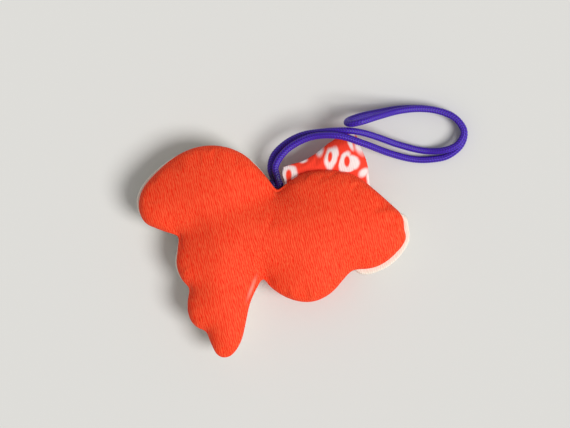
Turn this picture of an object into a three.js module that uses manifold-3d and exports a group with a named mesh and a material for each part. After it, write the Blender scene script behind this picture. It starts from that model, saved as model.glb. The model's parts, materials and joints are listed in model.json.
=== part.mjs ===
// A padded crepe charm in the shape of a goldfish, lying on its face. Sizes are in millimetres.
// +X points to the head, +Y to the dorsal fin and +Z out of the charm's back.
// Every padded part is made the same way: a card, wadding on the card's face, and cloth drawn over
// both and hemmed behind the card. One such part is the back and four make the front. The two sides
// are glued hem to hem, with the root of the dorsal fin and the ends of the cord between them.

import * as THREE from 'three';
import { ConvexHull } from 'three/addons/math/ConvexHull.js';
import { mergeVertices } from 'three/addons/utils/BufferGeometryUtils.js';
import Module from 'manifold-3d';

const wasm = await Module();
wasm.setup();

// The fish as a whole
const fishLength = 60;
const fishSpan = 49.3;
const frontRise = 4.8;
const backCrown = 4.6;
const headCrown = 3;
const restSink = 0.5;

// Cloth, card, glue and the room between them
const clothThickness = 0.4;
const cardThickness = 0.8;
const glueFilm = 0.1;
const seatGap = 0.3;
const partSeam = 0.35;
const hemWidth = 3.2;
const edgeRoll = 5;
const waddingRim = 0.3;
const waddingTaper = 0.1;
const rimSink = 0.4;
const overrun = 1;

// Dorsal fin
const finCrown = 0.9;
const finRoll = 3;
const finWaddingInset = 1.6;

// Eye
const eyeWidth = 5.4;
const eyeThickness = 0.4;
const beadWidth = 2.4;
const beadHeight = 0.8;
const eyeSides = 20;
const domeSteps = 4;

// Cord
const cordDiameter = 1.5;
const cordPressedWidth = 1.6;
const cordPressedLength = 9;
const cordEndSpacing = 1.85;

// Spacing of the points that a sheet of cloth is drawn with
const edgeSpacing = 2;
const rimDepth = 0.6;
const shoulderDepth = 2;
const gridSpacing = 3.5;

// Levels, from the table up
const frontSeat = frontRise + cardThickness;
const backGlue = frontSeat + glueFilm + clothThickness + glueFilm;
const backSeat = backGlue + clothThickness + glueFilm;
const middle = (frontSeat + backSeat) / 2;
const frontSide = { face: frontRise, way: -1 };
const backSide = { face: backSeat + cardThickness, way: 1 };
const tabHalf = (backSeat - frontSeat) / 2 - glueFilm;

const red = '#e2381d';
const cream = '#f6ebdc';
const kanoko = '#ea4a38';
const violet = '#5a3cc4';
const beadBlack = '#15130f';
const cardGrey = '#b9ac96';
const cotton = '#f2efe8';

// Edges of the back, each a smooth stretch between two corners, as shares of length and span
const upperTailShares = [
  [-0.344, 0.035], [-0.412, 0.062], [-0.466, 0.095], [-0.488, 0.164], [-0.473, 0.243], [-0.423, 0.316],
  [-0.354, 0.387], [-0.277, 0.428], [-0.201, 0.434], [-0.121, 0.406], [-0.059, 0.345], [0.014, 0.237],
];
const napeShares = [
  [0.014, 0.237], [0.054, 0.274], [0.105, 0.312], [0.17, 0.327], [0.243, 0.321], [0.308, 0.296],
  [0.388, 0.219], [0.461, 0.137],
];
const noseShares = [
  [0.461, 0.137], [0.473, 0.111], [0.475, 0.071], [0.483, 0.035], [0.468, -0.009], [0.424, -0.064],
  [0.37, -0.103], [0.29, -0.115],
];
const bellyShares = [
  [0.29, -0.115], [0.261, -0.146], [0.224, -0.201], [0.174, -0.243], [0.115, -0.257], [0.05, -0.237],
  [-0.005, -0.195], [-0.037, -0.15],
];
const tailTipShares = [
  [-0.037, -0.15], [-0.065, -0.206], [-0.086, -0.27], [-0.099, -0.345], [-0.115, -0.425],
  [-0.143, -0.482], [-0.177, -0.5], [-0.21, -0.476], [-0.244, -0.385],
];
const lowerScallopShares = [
  [-0.244, -0.385], [-0.277, -0.367], [-0.303, -0.33], [-0.311, -0.27], [-0.304, -0.195],
];
const upperScallopShares = [
  [-0.304, -0.195], [-0.328, -0.162], [-0.346, -0.119], [-0.351, -0.075], [-0.346, -0.018], [-0.344, 0.035],
];

// Edges of the front, which stands out past the back at the head and at the tails' left side
const frontUpperTailShares = [
  [-0.344, 0.035], [-0.412, 0.06], [-0.473, 0.102], [-0.501, 0.177], [-0.484, 0.252], [-0.43, 0.327],
  [-0.357, 0.392], [-0.277, 0.431], [-0.201, 0.437], [-0.117, 0.407], [-0.052, 0.343], [0.014, 0.237],
];
const frontNapeShares = [
  [0.014, 0.237], [0.055, 0.265], [0.105, 0.303], [0.17, 0.318], [0.239, 0.312], [0.304, 0.288],
  [0.383, 0.21],
];
const frontHeadShares = [
  [0.383, 0.21], [0.417, 0.17], [0.457, 0.148], [0.486, 0.126], [0.495, 0.084], [0.501, 0.038],
  [0.487, -0.018], [0.436, -0.091], [0.374, -0.13], [0.323, -0.141], [0.29, -0.115],
];
const frontBellyShares = [
  [0.29, -0.115], [0.255, -0.139], [0.219, -0.192], [0.17, -0.235], [0.115, -0.248], [0.054, -0.229],
  [0.003, -0.19], [-0.037, -0.15],
];
const frontTailTipShares = [
  [-0.037, -0.15], [-0.068, -0.208], [-0.092, -0.27], [-0.105, -0.345], [-0.121, -0.42],
  [-0.146, -0.476], [-0.177, -0.493], [-0.204, -0.471], [-0.244, -0.385],
];
const frontLowerScallopShares = [
  [-0.244, -0.385], [-0.274, -0.363], [-0.299, -0.327], [-0.307, -0.27], [-0.304, -0.195],
];
const frontUpperScallopShares = [
  [-0.304, -0.195], [-0.334, -0.164], [-0.354, -0.119], [-0.36, -0.075], [-0.352, -0.018], [-0.344, 0.035],
];

// Seams between the parts of the front
const tailSeamShares = [[-0.344, 0.035], [-0.248, 0.022], [-0.128, 0.027]];
const bodyUpperSeamShares = [[-0.128, 0.027], [-0.07, 0.119], [0.014, 0.237]];
const bodyLowerSeamShares = [[-0.128, 0.027], [-0.088, -0.066], [-0.037, -0.15]];
const gillShares = [[0.383, 0.21], [0.29, 0.155], [0.243, 0.053], [0.25, -0.044], [0.29, -0.115]];

// Dorsal fin: its free edge, the line along which it leaves the body, and the tab that is glued in
const finFreeShares = [
  [0.042, 0.273], [0.03, 0.31], [0.029, 0.336], [0.065, 0.353], [0.105, 0.367], [0.143, 0.393],
  [0.181, 0.427], [0.206, 0.451], [0.243, 0.478], [0.283, 0.5],
];
const finRearShares = [
  [0.283, 0.5], [0.308, 0.471], [0.314, 0.438], [0.33, 0.398], [0.343, 0.35], [0.347, 0.305], [0.35, 0.266],
];
const finRootShares = [
  [0.35, 0.266], [0.311, 0.303], [0.244, 0.328], [0.17, 0.334], [0.102, 0.319], [0.042, 0.273],
];
const finTabShares = [
  [0.064, 0.314], [0.112, 0.345], [0.17, 0.358], [0.243, 0.352], [0.304, 0.33], [0.33, 0.305],
  [0.302, 0.218], [0.239, 0.242], [0.17, 0.249], [0.115, 0.233], [0.075, 0.2],
];

const eyeCentreShare = [0.403, 0.071];
const cordExitShare = [0.0078, 0.288];

// The free cord's middle line, from its first end out over the fin, round the curl and back
const cordRoute = [
  [0.03, 14.39, 5.3], [-0.58, 16.36, 5.05], [-0.01, 19.13, 4.85], [2.45, 21.77, 4.85], [6.05, 23.69, 5.4],
  [10.2, 24.41, 6.35], [16.09, 24.67, 7.75], [19.36, 24.25, 6.95], [23.28, 23.16, 4.7], [27.64, 21.74, 2.3],
  [33.75, 20.41, 1], [38.44, 20.79, 2.2], [40.8, 22.2, 2.55], [41.8, 24.65, 2.55], [40.08, 27.44, 2.55],
  [36.37, 29.14, 2.55], [32.22, 29.62, 2.95], [27.64, 29.14, 4.5], [22.63, 27.7, 7.7], [19.05, 26.52, 9.3],
  [16.96, 26.13, 8.5], [16.06, 26.48, 6.5], [16.83, 27.18, 4.5], [18.81, 27.92, 3.6], [22.85, 28.88, 1.85],
  [28.52, 29.79, 0.85], [34.62, 29.6, 0.85], [39.64, 28, 0.85], [42.02, 24.97, 0.85], [41.43, 21.92, 0.85],
  [38.44, 19.37, 0.85], [34.62, 18.56, 0.85], [30.92, 18.6, 0.95], [25.68, 19.8, 3.3], [19.57, 21.9, 7.6],
  [14.12, 23.51, 8.75], [8.02, 23.21, 7.6], [2.89, 20.46, 6.8], [0.45, 16.79, 6.75], [0.91, 14.39, 6.85],
];

// A share of the fish's length and span as a place
const place = ([x, y]) => new THREE.Vector2(x * fishLength, y * fishSpan);

// A smooth stretch of edge through its points, as evenly spaced samples
function smoothRun(shares) {
  const curve = new THREE.SplineCurve(shares.map(place));
  return curve.getSpacedPoints(Math.ceil(curve.getLength() / edgeSpacing));
}

const backwards = (run) => [...run].reverse();

// Runs that follow each other, joined into one closed edge that turns to the left
function closedEdge(...runs) {
  const edge = runs.flatMap((run) => run.slice(0, -1));
  return THREE.ShapeUtils.isClockWise(edge) ? backwards(edge) : edge;
}

function distanceToEdge(point, edge) {
  const nearest = new THREE.Vector3();
  const flat = new THREE.Vector3(point.x, point.y);
  return Math.min(...edge.map((start, i) => {
    const end = edge[(i + 1) % edge.length];
    const side = new THREE.Line3(new THREE.Vector3(start.x, start.y), new THREE.Vector3(end.x, end.y));
    return side.closestPointToPoint(flat, true, nearest).distanceTo(flat);
  }));
}

// An outline moved inwards, mitred at its corners
function mitred(edge, depth) {
  return edge.map((point, i) => {
    const before = point.clone().sub(edge.at(i - 1)).normalize();
    const after = edge[(i + 1) % edge.length].clone().sub(point).normalize();
    const along = before.add(after).normalize();
    const reach = depth / along.dot(after);
    return new THREE.Vector2(point.x - along.y * reach, point.y + along.x * reach);
  });
}

// A ring inside the edge. Samples that a corner or a narrow place crowds together or turns back
// on each other are dropped.
function inset(edge, depth) {
  const crowdedShare = 0.99;
  const ring = [];
  let before;
  mitred(edge, depth).forEach((point, i) => {
    const isClear = distanceToEdge(point, edge) > crowdedShare * Math.abs(depth);
    const goesOn = !before || point.clone().sub(ring.at(-1)).dot(edge[i].clone().sub(before)) > 0;
    if (!isClear || !goesOn) return;
    ring.push(point);
    before = edge[i];
  });
  return ring;
}

function isInside(point, edge) {
  let inside = false;
  edge.forEach((start, i) => {
    const end = edge[(i + 1) % edge.length];
    if (start.y > point.y === end.y > point.y) return;
    const crossing = start.x + ((point.y - start.y) / (end.y - start.y)) * (end.x - start.x);
    if (point.x < crossing) inside = !inside;
  });
  return inside;
}

// Points of one honeycomb lattice, the same for every sheet, that keep clear of the edge
function latticeInside(edge, clearance) {
  const { min, max } = new THREE.Box2().setFromPoints(edge);
  const rowStep = gridSpacing * Math.sin(Math.PI / 3);
  const points = [];
  for (let row = Math.ceil(min.y / rowStep); row * rowStep < max.y; row++) {
    const shift = row % 2 ? gridSpacing / 2 : 0;
    const first = Math.ceil((min.x - shift) / gridSpacing);
    for (let column = first; column * gridSpacing + shift < max.x; column++) {
      const point = new THREE.Vector2(column * gridSpacing + shift, row * rowStep);
      if (isInside(point, edge) && distanceToEdge(point, edge) > clearance) points.push(point);
    }
  }
  return points;
}

// The points that the sheets of one part share: a ring at the puff's shoulder and the lattice in it
function innerPoints(edge) {
  const clearShare = 0.45;
  return [...inset(edge, shoulderDepth), ...latticeInside(edge, shoulderDepth + clearShare * gridSpacing)];
}

// Whether a point is so near a stretch of the edge that triangles would cut across that stretch
function crowds(point, edge) {
  return edge.some((start, i) => {
    const end = edge[(i + 1) % edge.length];
    const middleOf = start.clone().add(end).divideScalar(2);
    return point.distanceTo(middleOf) < start.distanceTo(end) / 2;
  });
}

// A flat sheet inside an edge, as even triangles. Lifted onto a bowl, the points' convex hull has
// the triangles of least sliver on its underside.
function flatSheet(edge, inner) {
  const points = [...edge, ...inner.filter((point) => !crowds(point, edge))];
  const lifted = points.map((point) => new THREE.Vector3(point.x, point.y, point.lengthSq() / fishLength));
  const numbers = new Map(lifted.map((point, i) => [point, i]));
  const triangles = [];
  for (const { edge: side, normal } of new ConvexHull().setFromPoints(lifted).faces) {
    if (normal.z > 0) continue;
    const corners = [side, side.prev, side.next].map((step) => numbers.get(step.head().point));
    const [a, b, c] = corners.map((i) => points[i]);
    const centre = a.clone().add(b).add(c).divideScalar(corners.length);
    if (isInside(centre, edge)) triangles.push(corners);
  }
  return { points, triangles, rim: edge.length };
}

// How far a point is from the edge, as the cloth feels it: every stretch of edge in sight draws the
// cloth down, so the measure dips at a notch and in a corner.
function reachFrom(point, edge) {
  let pull = 0;
  edge.forEach((start, i) => {
    const a = start.clone().sub(point);
    const b = edge[(i + 1) % edge.length].clone().sub(point);
    const area = a.cross(b);
    if (area !== 0) pull += (Math.atan2(area, a.dot(b)) / area) * a.distanceTo(b);
  });
  return Math.PI / pull;
}

// Height of a puff's cloth over its card as a function of the depth below the cloth's face
function puffSurface(edge, crown, roll, limit = crown) {
  const rise = (reach) => Math.sqrt(1 - Math.exp(-Math.max(reach, 0) / roll));
  const reaches = latticeInside(edge, clothThickness).map((point) => reachFrom(point, edge));
  const fullest = rise(Math.max(...reaches));
  const onEdge = (point) => edge.includes(point);
  return (depth) => (point) => {
    const reach = onEdge(point) ? 0 : reachFrom(point, edge);
    return Math.min((crown * rise(reach - depth)) / fullest, limit) - depth;
  };
}

// A closed body over a sheet, between two levels that may change from point to point
function bodyBetween({ points, triangles, rim }, low, high) {
  const count = points.length;
  const atLevel = (level) => points.flatMap((point) => [point.x, point.y, level(point)]);
  const positions = [...atLevel(low), ...atLevel(high)];
  const faces = triangles.flatMap(([a, b, c]) => [[a, c, b], [a + count, b + count, c + count]]);
  for (let a = 0; a < rim; a++) {
    const b = (a + 1) % rim;
    faces.push([a, b, b + count], [a, b + count, a + count]);
  }
  const geometry = new THREE.BufferGeometry();
  geometry.setAttribute('position', new THREE.Float32BufferAttribute(positions, 3));
  geometry.setIndex(faces.flat());
  return geometry;
}

// The same between two heights over a side's card, towards the side's crown
function layer(sheet, { face, way }, near, far) {
  const level = (height) => (point) => face + way * (typeof height === 'function' ? height(point) : height);
  return way > 0 ? bodyBetween(sheet, level(near), level(far)) : bodyBetween(sheet, level(far), level(near));
}

function plate(edge, low, high) {
  const options = { depth: high - low, bevelEnabled: false };
  return new THREE.ExtrudeGeometry(new THREE.Shape(edge), options).translate(0, 0, low);
}

function sidePlate(edge, { face, way }, near, far) {
  const levels = [face + way * near, face + way * far];
  return plate(edge, Math.min(...levels), Math.max(...levels));
}

function solid(geometry) {
  const bare = geometry.clone();
  bare.deleteAttribute('normal');
  bare.deleteAttribute('uv');
  const merged = mergeVertices(bare);
  const vertProperties = Float32Array.from(merged.attributes.position.array);
  const triVerts = Uint32Array.from(merged.index.array);
  return new wasm.Manifold(new wasm.Mesh({ numProp: 3, vertProperties, triVerts }));
}

function geometryOf(shape) {
  const { vertProperties, triVerts } = shape.getMesh();
  const geometry = new THREE.BufferGeometry();
  geometry.setAttribute('position', new THREE.BufferAttribute(vertProperties, 3));
  geometry.setIndex([...triVerts]);
  return geometry;
}

function piece(name, geometry, color, roughness) {
  geometry.computeVertexNormals();
  const mesh = new THREE.Mesh(geometry, new THREE.MeshStandardMaterial({ color, roughness, metalness: 0 }));
  mesh.name = name;
  return mesh;
}

// How much deeper a filling lies at its own rim, where the cloth over a notch is drawn tight
function sunk(point, rim) {
  return rim.includes(point) ? rimSink : 0;
}

// Cloth drawn over wadding and card and turned in behind the card by a hem
function drawnCloth(edge, inner, side, surface, passages) {
  const hemInner = -cardThickness - glueFilm;
  const hemOuter = hemInner - clothThickness;
  const rounded = [...inset(edge, rimDepth), ...inner];
  const outside = solid(layer(flatSheet(edge, rounded), side, hemOuter, surface(0)));
  const roomEdge = inset(edge, clothThickness);
  const roomSheet = flatSheet(roomEdge, inner);
  const roomTop = (point) => Math.max(surface(clothThickness + sunk(point, roomEdge))(point), 0);
  const room = solid(layer(roomSheet, side, hemInner, roomTop));
  const mouth = solid(sidePlate(inset(edge, hemWidth), side, hemOuter - overrun, -cardThickness));
  return passages.reduce((cloth, passage) => cloth.subtract(passage), outside.subtract(room).subtract(mouth));
}

// Cloth, wadding and card of one padded part
function paddedPart(name, edge, side, color, { crown, limit, passages = [] }) {
  const surface = puffSurface(edge, crown, edgeRoll, limit);
  const inner = innerPoints(edge);
  const cardEdge = inset(edge, clothThickness + seatGap);
  const waddingDepth = clothThickness + seatGap + waddingRim;
  const waddingEdge = inset(edge, waddingDepth);
  const waddingLow = glueFilm + waddingTaper;
  const waddingTop = (point) => Math.max(surface(waddingDepth + sunk(point, waddingEdge))(point), waddingLow);
  const cloth = drawnCloth(edge, inner, side, surface, passages);
  const part = new THREE.Group();
  part.add(
    piece(`${name}_cloth`, geometryOf(cloth), color, 0.85),
    piece(`${name}_wadding`, layer(flatSheet(waddingEdge, inner), side, glueFilm, waddingTop), cotton, 0.95),
    piece(`${name}_card`, sidePlate(cardEdge, side, -cardThickness, 0), cardGrey, 0.9),
  );
  return { part, surface };
}

// Two layers of cloth over thin wadding, pressed flat to a tab that goes between back and front
function dorsalFin() {
  const edge = closedEdge(smoothRun(finFreeShares), smoothRun(finRearShares), smoothRun(finRootShares));
  const surface = puffSurface(edge, finCrown, finRoll);
  const inner = innerPoints(edge);
  const lens = (sheetEdge, depth, leastHalf) => {
    const half = (point) => Math.max(tabHalf + surface(depth)(point), leastHalf);
    const sheet = flatSheet(sheetEdge, inner);
    return bodyBetween(sheet, (point) => middle - half(point), (point) => middle + half(point));
  };
  const slitHalf = tabHalf - clothThickness;
  const slit = plate(inset(finTabEdge, clothThickness), middle - slitHalf, middle + slitHalf);
  const cloth = solid(lens(edge, 0, tabHalf))
    .add(solid(plate(finTabEdge, middle - tabHalf, middle + tabHalf)))
    .subtract(solid(lens(inset(edge, clothThickness), clothThickness, slitHalf)))
    .subtract(solid(slit))
    .subtract(solid(slit.clone().translate(0, -overrun, 0)));
  const wadding = lens(inset(edge, finWaddingInset), clothThickness + seatGap, waddingRim / 2);
  const fin = new THREE.Group();
  fin.add(
    piece('dorsal_fin_cloth', geometryOf(cloth), kanoko, 0.85),
    piece('dorsal_fin_wadding', wadding, cotton, 0.95),
  );
  return fin;
}

// A round patch that follows the head's puff, with a domed bead on it
function eye(headSurface) {
  const centre = place(eyeCentreShare);
  const round = new THREE.EllipseCurve(centre.x, centre.y, eyeWidth / 2, eyeWidth / 2);
  const rim = round.getSpacedPoints(eyeSides).slice(0, -1);
  const sheet = flatSheet(rim, innerPoints(rim));
  const seat = (point) => headSurface(0)(point) + seatGap;
  const face = (point) => seat(point) + eyeThickness;
  const dome = new THREE.EllipseCurve(0, 0, beadWidth / 2, beadHeight, 0, Math.PI / 2);
  const profile = [new THREE.Vector2(0, 0), ...dome.getPoints(domeSteps)];
  profile.at(-1).x = 0;
  const bead = new THREE.LatheGeometry(profile, eyeSides).rotateX(-Math.PI / 2);
  const beadSeat = frontSide.face - Math.max(...sheet.points.map(face)) - glueFilm;
  const group = new THREE.Group();
  group.add(
    piece('eye_patch', layer(sheet, frontSide, seat, face), cotton, 0.9),
    piece('eye_bead', bead.translate(centre.x, centre.y, beadSeat), beadBlack, 0.15),
  );
  return group;
}

// The two ends of the cord, pressed flat side by side between the cards
function cordEnds() {
  const group = new THREE.Group();
  const half = cordPressedWidth / 2;
  const straight = cordPressedLength - half;
  ['cord_end_first', 'cord_end_second'].forEach((name, i) => {
    const outline = new THREE.Shape().moveTo(-half, 0).lineTo(-half, -straight);
    outline.absarc(0, -straight, half, Math.PI, 2 * Math.PI).lineTo(half, 0);
    const options = { depth: 2 * tabHalf, bevelEnabled: false, curveSegments: 5 };
    const flat = new THREE.ExtrudeGeometry(outline, options);
    const across = cordExit.x + (i - 1 / 2) * cordEndSpacing;
    group.add(piece(name, flat.translate(across, cordExit.y - seatGap, middle - tabHalf), violet, 0.7));
  });
  return group;
}

// The free loop, one unbroken tube from the first end round its bight and back to the second
function hangingCord() {
  const path = new THREE.CatmullRomCurve3(cordRoute.map((point) => new THREE.Vector3(...point)));
  path.curveType = 'centripetal';
  const section = new THREE.Shape();
  section.absarc(0, 0, cordDiameter / 2, 0, 2 * Math.PI);
  const tube = new THREE.ExtrudeGeometry(section, { steps: 80, curveSegments: 4, extrudePath: path });
  return piece('hanging_cord', tube, violet, 0.7);
}

const finTabEdge = closedEdge([...finTabShares, finTabShares[0]].map(place));
const cordExit = place(cordExitShare);
const cordRoom = (cordEndSpacing + cordPressedWidth) / 2 + seatGap;
const cordDepth = cordPressedLength + 2 * seatGap;
const passageCorners = [
  [-cordRoom, overrun], [-cordRoom, -cordDepth], [cordRoom, -cordDepth], [cordRoom, overrun],
];
const passageEdge = passageCorners.map(([x, y]) => new THREE.Vector2(cordExit.x + x, cordExit.y + y));
const cordPassage = solid(plate(passageEdge, frontSeat, backSeat));
const finRoom = plate(inset(finTabEdge, -seatGap), frontSeat, backSeat);
const finPassage = solid(finRoom).add(solid(finRoom.clone().translate(0, -hemWidth / 2, 0)));

const nape = smoothRun(napeShares);
const backEdge = closedEdge(
  smoothRun(upperTailShares), nape, smoothRun(noseShares), smoothRun(bellyShares),
  smoothRun(tailTipShares), smoothRun(lowerScallopShares), smoothRun(upperScallopShares),
);
const tailSeam = smoothRun(tailSeamShares);
const upperSeam = smoothRun(bodyUpperSeamShares);
const lowerSeam = smoothRun(bodyLowerSeamShares);
const gill = smoothRun(gillShares);
const frontEdge = (...runs) => mitred(closedEdge(...runs), partSeam / 2);
const resting = { crown: frontRise + restSink, limit: frontRise };

const passages = [cordPassage, finPassage];
const back = paddedPart('back', backEdge, backSide, red, { crown: backCrown, passages });
const body = paddedPart(
  'body',
  frontEdge(
    upperSeam, smoothRun(frontNapeShares), gill, smoothRun(frontBellyShares), backwards(lowerSeam),
  ),
  frontSide, red, { ...resting, passages },
);
const head = paddedPart(
  'head', frontEdge(smoothRun(frontHeadShares), backwards(gill)), frontSide, cream, { crown: headCrown },
);
const tailUpper = paddedPart(
  'tail_upper', frontEdge(smoothRun(frontUpperTailShares), backwards(upperSeam), backwards(tailSeam)),
  frontSide, cream, { ...resting, passages: [cordPassage] },
);
const tailLower = paddedPart(
  'tail_lower',
  frontEdge(
    lowerSeam, smoothRun(frontTailTipShares), smoothRun(frontLowerScallopShares),
    smoothRun(frontUpperScallopShares), tailSeam,
  ),
  frontSide, cream, resting,
);

const charm = new THREE.Group();
charm.add(
  back.part, body.part, head.part, tailUpper.part, tailLower.part,
  dorsalFin(), eye(head.surface), cordEnds(), hangingCord(),
);

export default charm;
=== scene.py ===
# %% [markdown]
# A padded goldfish charm of crepe cloth lies on its face, and we look at its red back from
# straight above. The solids of the charm come in as a fixed frame. Everything soft is made anew
# over them here: cushions of crepe, a dyed fin, a braided cord and the small eye underneath.

# %% The frame
import math

import bmesh
import bpy
import numpy as np
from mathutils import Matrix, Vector
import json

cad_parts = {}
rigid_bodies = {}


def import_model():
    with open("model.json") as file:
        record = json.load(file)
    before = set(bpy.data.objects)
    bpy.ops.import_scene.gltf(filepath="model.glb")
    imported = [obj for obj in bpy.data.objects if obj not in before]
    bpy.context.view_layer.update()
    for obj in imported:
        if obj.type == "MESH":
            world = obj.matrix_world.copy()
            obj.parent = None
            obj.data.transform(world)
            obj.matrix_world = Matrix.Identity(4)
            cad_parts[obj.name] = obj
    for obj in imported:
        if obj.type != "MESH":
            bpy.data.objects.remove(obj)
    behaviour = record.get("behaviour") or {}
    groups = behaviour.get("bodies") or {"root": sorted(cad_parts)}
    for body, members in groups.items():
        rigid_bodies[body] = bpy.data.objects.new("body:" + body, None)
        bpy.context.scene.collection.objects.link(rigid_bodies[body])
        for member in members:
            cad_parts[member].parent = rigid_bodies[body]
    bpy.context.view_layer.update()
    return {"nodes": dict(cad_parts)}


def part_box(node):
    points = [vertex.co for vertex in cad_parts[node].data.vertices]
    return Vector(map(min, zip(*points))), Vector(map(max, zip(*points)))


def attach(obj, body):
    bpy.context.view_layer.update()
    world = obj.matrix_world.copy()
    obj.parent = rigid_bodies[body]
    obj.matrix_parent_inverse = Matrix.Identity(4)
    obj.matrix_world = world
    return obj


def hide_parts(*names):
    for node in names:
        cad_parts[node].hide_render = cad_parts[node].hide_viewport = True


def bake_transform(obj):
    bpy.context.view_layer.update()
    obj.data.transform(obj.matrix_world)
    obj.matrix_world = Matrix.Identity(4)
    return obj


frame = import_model()
MM = 0.001

# %% [markdown]
# The camera stands high above the charm, so that there is hardly any perspective. One pixel of
# the photograph is 0.2181 mm at the middle of the charm's thickness, and the charm's middle is
# a little left of and below the middle of the picture.

# %% The camera
PIXEL = 0.2181 * MM
PHOTO_WIDTH = 570
VIEW_CENTRE = Vector((2.56 * MM, 6.54 * MM, 6 * MM))
CAMERA_HEIGHT = 0.5
SENSOR = 36
NEAREST, FARTHEST = 0.01, 10


def stand_camera():
    above = VIEW_CENTRE + Vector((0, 0, CAMERA_HEIGHT))
    bpy.ops.object.camera_add(location=above, rotation=(0, 0, 0))
    camera = bpy.context.object
    camera.data.sensor_width = SENSOR
    camera.data.lens = SENSOR * CAMERA_HEIGHT / (PHOTO_WIDTH * PIXEL)
    camera.data.clip_start, camera.data.clip_end = NEAREST, FARTHEST
    bpy.context.scene.camera = camera
    return camera


camera = stand_camera()
print("lens:", round(camera.data.lens, 1), "mm")

# %% [markdown]
# A material is a small tree of nodes. It could be wired by hand in the shader editor. Here one
# function adds a node with its settings and links, and one turns a colour as it is picked on a
# screen into the linear numbers that the shader works in. A finish is given by the names of the
# shader's own sockets.

# %% Helpers for materials


def colour(code):
    """An sRGB hex value as linear red, green, blue and alpha"""
    parts = [int(code[i : i + 2], 16) / 255 for i in (1, 3, 5)]
    return (*[p / 12.92 if p <= 0.04045 else ((p + 0.055) / 1.055) ** 2.4 for p in parts], 1)


def add(tree, kind, inputs=(), **settings):
    """One node, with settings by name and inputs by socket: a value, or an output to link"""
    made = tree.nodes.new("ShaderNode" + kind)
    for name, value in settings.items():
        setattr(made, name, value)
    for socket, value in dict(inputs).items():
        if isinstance(value, bpy.types.NodeSocket):
            tree.links.new(value, made.inputs[socket])
        else:
            made.inputs[socket].default_value = value
    return made


def new_material(name, finish=()):
    """A material with only a Principled shader, which has the finish, on its output"""
    material = bpy.data.materials.new(name)
    material.use_nodes = True
    tree = material.node_tree
    tree.nodes.clear()
    shader = add(tree, "BsdfPrincipled", finish)
    add(tree, "OutputMaterial", {"Surface": shader.outputs["BSDF"]})
    return material, tree, shader


def give(tree, shader, outputs):
    """Links each output to the shader's socket of that name"""
    for socket, output in outputs.items():
        tree.links.new(output, shader.inputs[socket])


print("a screen's middle grey in linear numbers:", [round(x, 3) for x in colour("#808080")])

# %% [markdown]
# Helpers for shapes. An operator works on all that is selected, so each step first selects just
# what it needs. A solid comes in as loose triangles, so a copy of one is merged before use.

# %% Helpers for shapes
MERGE_REACH = 0.002 * MM


def only(piece):
    bpy.ops.object.select_all(action="DESELECT")
    piece.select_set(True)
    bpy.context.view_layer.objects.active = piece


def edit(piece, kind="FACE"):
    only(piece)
    bpy.ops.object.mode_set(mode="EDIT")
    bpy.ops.mesh.select_mode(type=kind)
    bpy.ops.mesh.select_all(action="DESELECT")


def turn_faces_outwards():
    """For a closed mesh, from inside edit mode"""
    bpy.ops.mesh.select_all(action="SELECT")
    bpy.ops.mesh.normals_make_consistent(inside=False)


def leave_edit():
    bpy.ops.object.mode_set(mode="OBJECT")


def select_faces(piece, wanted):
    """Selects the faces for which wanted(centre, normal) is true, from inside edit mode"""
    mesh = bmesh.from_edit_mesh(piece.data)
    for face in mesh.faces:
        face.select = bool(wanted(face.calc_center_median(), face.normal))
    bmesh.update_edit_mesh(piece.data)


def apply_modifier(piece, kind, **settings):
    only(piece)
    modifier = piece.modifiers.new(kind.lower(), kind)
    for name, value in settings.items():
        setattr(modifier, name, value)
    bpy.ops.object.modifier_apply(modifier=modifier.name)


def copy_of_node(node, name):
    """A piece of its own with a CAD node's shape, its loose triangles merged"""
    source = frame["nodes"][node]
    piece = bpy.data.objects.new(name, source.data.copy())
    bpy.context.scene.collection.objects.link(piece)
    piece.data.materials.clear()
    edit(piece, "VERT")
    bpy.ops.mesh.select_all(action="SELECT")
    bpy.ops.mesh.remove_doubles(threshold=MERGE_REACH)
    leave_edit()
    return piece


def report(piece):
    size = Vector(piece.dimensions) / MM
    print(f"{piece.name}: {len(piece.data.polygons)} faces, {size.x:.1f} x {size.y:.1f} x {size.z:.1f} mm")


# %% [markdown]
# The hanging cord comes first, because its whole course shows. It is a round braid of viscose
# silk, 1.5 mm thick, that leaves the notch behind the fin doubled, lies over the fin's tip and
# ends in a curl whose bight stands on edge. It could be drawn by hand as a curve object. Here the
# points that it follows are a list, in millimetres, and a smooth curve goes through them, so that
# the same samples also carry the stitches.

# %% The cord's route
CORD_DIAMETER = 1.5 * MM
CORD_ROUTE = [
    (0.03, 14.39, 5.3), (-0.58, 16.36, 5.05), (-0.01, 19.13, 4.85), (2.45, 21.77, 4.85),
    (6.05, 23.69, 5.4), (10.2, 24.41, 6.35), (16.09, 24.67, 7.75), (19.36, 24.25, 6.95),
    (23.28, 23.16, 4.7), (27.64, 21.74, 2.3), (33.75, 20.41, 1), (38.44, 20.79, 2.2),
    (40.8, 22.2, 2.55), (41.8, 24.65, 2.55), (40.08, 27.44, 2.55), (36.37, 29.14, 2.55),
    (32.22, 29.62, 2.95), (27.64, 29.14, 4.5), (22.63, 27.7, 7.7), (19.05, 26.52, 9.3),
    (16.96, 26.13, 8.5), (16.06, 26.48, 6.5), (16.83, 27.18, 4.5), (18.81, 27.92, 3.6),
    (22.85, 28.88, 1.85), (28.52, 29.79, 0.85), (34.62, 29.6, 0.85), (39.64, 28, 0.85),
    (42.02, 24.97, 0.85), (41.43, 21.92, 0.85), (38.44, 19.37, 0.85), (34.62, 18.56, 0.85),
    (30.92, 18.6, 0.95), (25.68, 19.8, 3.3), (19.57, 21.9, 7.6), (14.12, 23.51, 8.75),
    (8.02, 23.21, 7.6), (2.89, 20.46, 6.8), (0.45, 16.79, 6.75), (0.91, 14.39, 6.85),
]
SAMPLE_STEP = 0.1 * MM
STEPS_PER_SPAN = 60


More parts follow.
